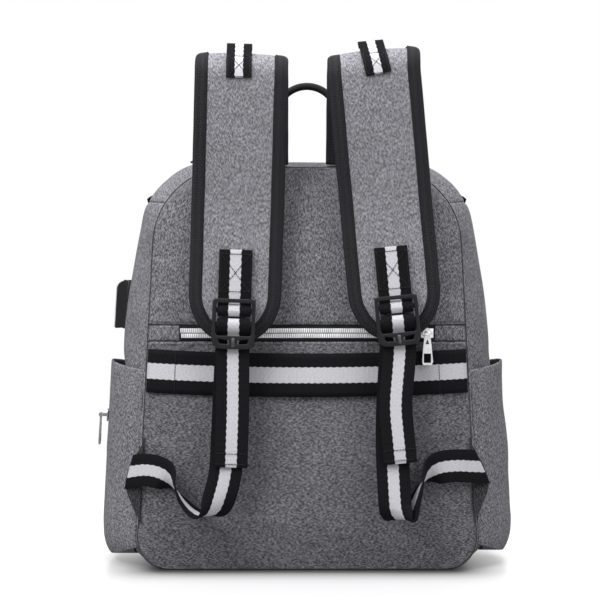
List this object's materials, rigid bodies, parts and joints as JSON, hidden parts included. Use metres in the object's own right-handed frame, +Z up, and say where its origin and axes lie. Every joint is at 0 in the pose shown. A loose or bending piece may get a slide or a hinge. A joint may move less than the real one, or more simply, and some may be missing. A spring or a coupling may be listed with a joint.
{
  "type": "backpack with usb port",
  "caption": "Soft heather backpack with padded shoulder straps on ladder-lock buckles, zipped pockets, luggage band, grab handle and a USB port on one side.",
  "frame": {"origin": "Middle of the base panel's underside, on the floor the bag stands on.", "axes": "+Z up, -Y toward the wearer's back, -X toward the side with the USB port."},
  "size_m": [0.4003, 0.2589, 0.4861],
  "materials": {
    "heather_cloth": "grey heather woven polyester, fine vertical flecks",
    "strap_cloth": "grey heather woven polyester over foam",
    "mesh_lining": "black spacer mesh",
    "binding_tape": "black herringbone tape",
    "webbing": "black webbing with a white middle stripe",
    "handle_webbing": "black rolled webbing",
    "zip_tape": "black woven zip tape",
    "zip_silver": "satin nickel",
    "zip_black": "satin black enamel",
    "buckle_plastic": "satin black moulding",
    "port_plastic": "satin black moulding",
    "port_metal": "bright pressed steel",
    "lining_cloth": "thin dark lining",
    "base_board": "plain plastic sheet"
  },
  "bodies": {
    "bag": {"back_panel_upper": "heather_cloth", "back_panel_lower": "heather_cloth", "rear_zip_facings": "heather_cloth", "rear_pocket_lining": "lining_cloth", "rear_zip_tape": "zip_tape", "rear_zip_teeth": "zip_silver", "luggage_band": "webbing", "side_gusset_left": "heather_cloth", "side_gusset_right": "heather_cloth", "base_panel": "heather_cloth", "base_board": "base_board", "front_panel": "heather_cloth", "top_strip_rear": "heather_cloth", "shoulder_strip_left": "heather_cloth", "shoulder_strip_right": "heather_cloth", "main_zip_tape": "zip_tape", "main_zip_teeth": "zip_black", "main_zip_ends": "zip_black", "side_pocket_left": "heather_cloth", "side_pocket_right": "heather_cloth", "side_zip_tape": "zip_tape", "side_zip_teeth": "zip_silver", "front_pocket": "heather_cloth", "front_zip_tape": "zip_tape", "front_zip_teeth": "zip_silver", "usb_housing": "port_plastic", "usb_socket": "port_metal", "anchor_wing_left": "heather_cloth", "anchor_wing_right": "heather_cloth", "adjuster_webbing_left": "webbing", "adjuster_webbing_right": "webbing", "strap_riser_left": "strap_cloth", "strap_riser_right": "strap_cloth"},
    "mouth_flap": {"mouth_flap": "heather_cloth", "flap_zip_tape": "zip_tape", "flap_zip_teeth": "zip_black"},
    "main_slider_left": {"main_zip_slider_left": "zip_black"},
    "main_puller_left": {"main_zip_puller_left": "zip_black"},
    "main_slider_right": {"main_zip_slider_right": "zip_black"},
    "main_puller_right": {"main_zip_puller_right": "zip_black"},
    "rear_slider": {"rear_zip_slider": "zip_silver"},
    "rear_puller": {"rear_zip_puller": "zip_silver"},
    "side_slider": {"side_zip_slider": "zip_silver"},
    "side_puller": {"side_zip_puller": "zip_silver"},
    "front_slider": {"front_zip_slider": "zip_silver"},
    "front_puller": {"front_zip_puller": "zip_silver"},
    "strap_left": {"strap_pad_left": "strap_cloth", "strap_lining_left": "mesh_lining", "strap_binding_left": "binding_tape", "stroller_loop_left": "webbing", "buckle_tab_left": "webbing"},
    "strap_right": {"strap_pad_right": "strap_cloth", "strap_lining_right": "mesh_lining", "strap_binding_right": "binding_tape", "stroller_loop_right": "webbing", "buckle_tab_right": "webbing"},
    "lock_left": {"ladder_lock_left": "buckle_plastic"},
    "lock_right": {"ladder_lock_right": "buckle_plastic"},
    "grab_handle": {"grab_handle": "handle_webbing"}
  },
  "joints": [
    {"name": "flap_hinge", "type": "hinge", "parent": "bag", "child": "mouth_flap", "pos_m": [0, 0.08, 0.371], "axis": [-1, 0, 0], "range_deg": [0, 75]},
    {"name": "main_zip_left", "type": "slide", "parent": "bag", "child": "main_slider_left", "axis": [1, 0, 0], "range_m": [0, 0.0765]},
    {"name": "main_puller_left_swing", "type": "hinge", "parent": "main_slider_left", "child": "main_puller_left", "pos_m": [-0.0849, 0, 0.3895], "axis": [0, 1, 0], "range_deg": [0, 100]},
    {"name": "main_zip_right", "type": "slide", "parent": "bag", "child": "main_slider_right", "axis": [-1, 0, 0], "range_m": [0, 0.0765]},
    {"name": "main_puller_right_swing", "type": "hinge", "parent": "main_slider_right", "child": "main_puller_right", "pos_m": [0.0849, 0, 0.3895], "axis": [0, -1, 0], "range_deg": [0, 100]},
    {"name": "rear_zip", "type": "slide", "parent": "bag", "child": "rear_slider", "axis": [-1, 0, 0], "range_m": [0, 0.22]},
    {"name": "rear_puller_swing", "type": "hinge", "parent": "rear_slider", "child": "rear_puller", "pos_m": [0.11, -0.0979, 0.218], "axis": [-1, 0, 0], "range_deg": [0, 90]},
    {"name": "side_zip", "type": "slide", "parent": "bag", "child": "side_slider", "axis": [-0.0511, 0, -0.9987], "range_m": [0, 0.09]},
    {"name": "side_puller_swing", "type": "hinge", "parent": "side_slider", "child": "side_puller", "pos_m": [-0.20048, 0, 0.13735], "axis": [0, 1, 0], "range_deg": [-6, 120]},
    {"name": "front_zip", "type": "slide", "parent": "bag", "child": "front_slider", "axis": [1, 0, 0], "range_m": [0, 0.162]},
    {"name": "front_puller_swing", "type": "hinge", "parent": "front_slider", "child": "front_puller", "pos_m": [-0.081, 0.1318, 0.208], "axis": [1, 0, 0], "range_deg": [0, 120]},
    {"name": "strap_left_lift", "type": "hinge", "parent": "bag", "child": "strap_left", "pos_m": [-0.0595, -0.099, 0.474], "axis": [-0.9995, 0, 0.031], "range_deg": [0, 45], "deforming": ["adjuster_webbing_left"]},
    {"name": "lock_left_tilt", "type": "hinge", "parent": "strap_left", "child": "lock_left", "pos_m": [-0.06604, -0.1167, 0.239], "axis": [-0.9995, 0, 0.031], "range_deg": [0, 16]},
    {"name": "strap_right_lift", "type": "hinge", "parent": "bag", "child": "strap_right", "pos_m": [0.0605, -0.099, 0.477], "axis": [-0.9955, 0, -0.0946], "range_deg": [0, 45], "deforming": ["adjuster_webbing_right"]},
    {"name": "lock_right_tilt", "type": "hinge", "parent": "strap_right", "child": "lock_right", "pos_m": [0.08055, -0.1167, 0.242], "axis": [-0.9955, 0, -0.0946], "range_deg": [0, 16]},
    {"name": "handle_swing", "type": "hinge", "parent": "bag", "child": "grab_handle", "pos_m": [0, -0.05, 0.38238], "axis": [-1, 0, 0], "range_deg": [-10, 45]}
  ]
}
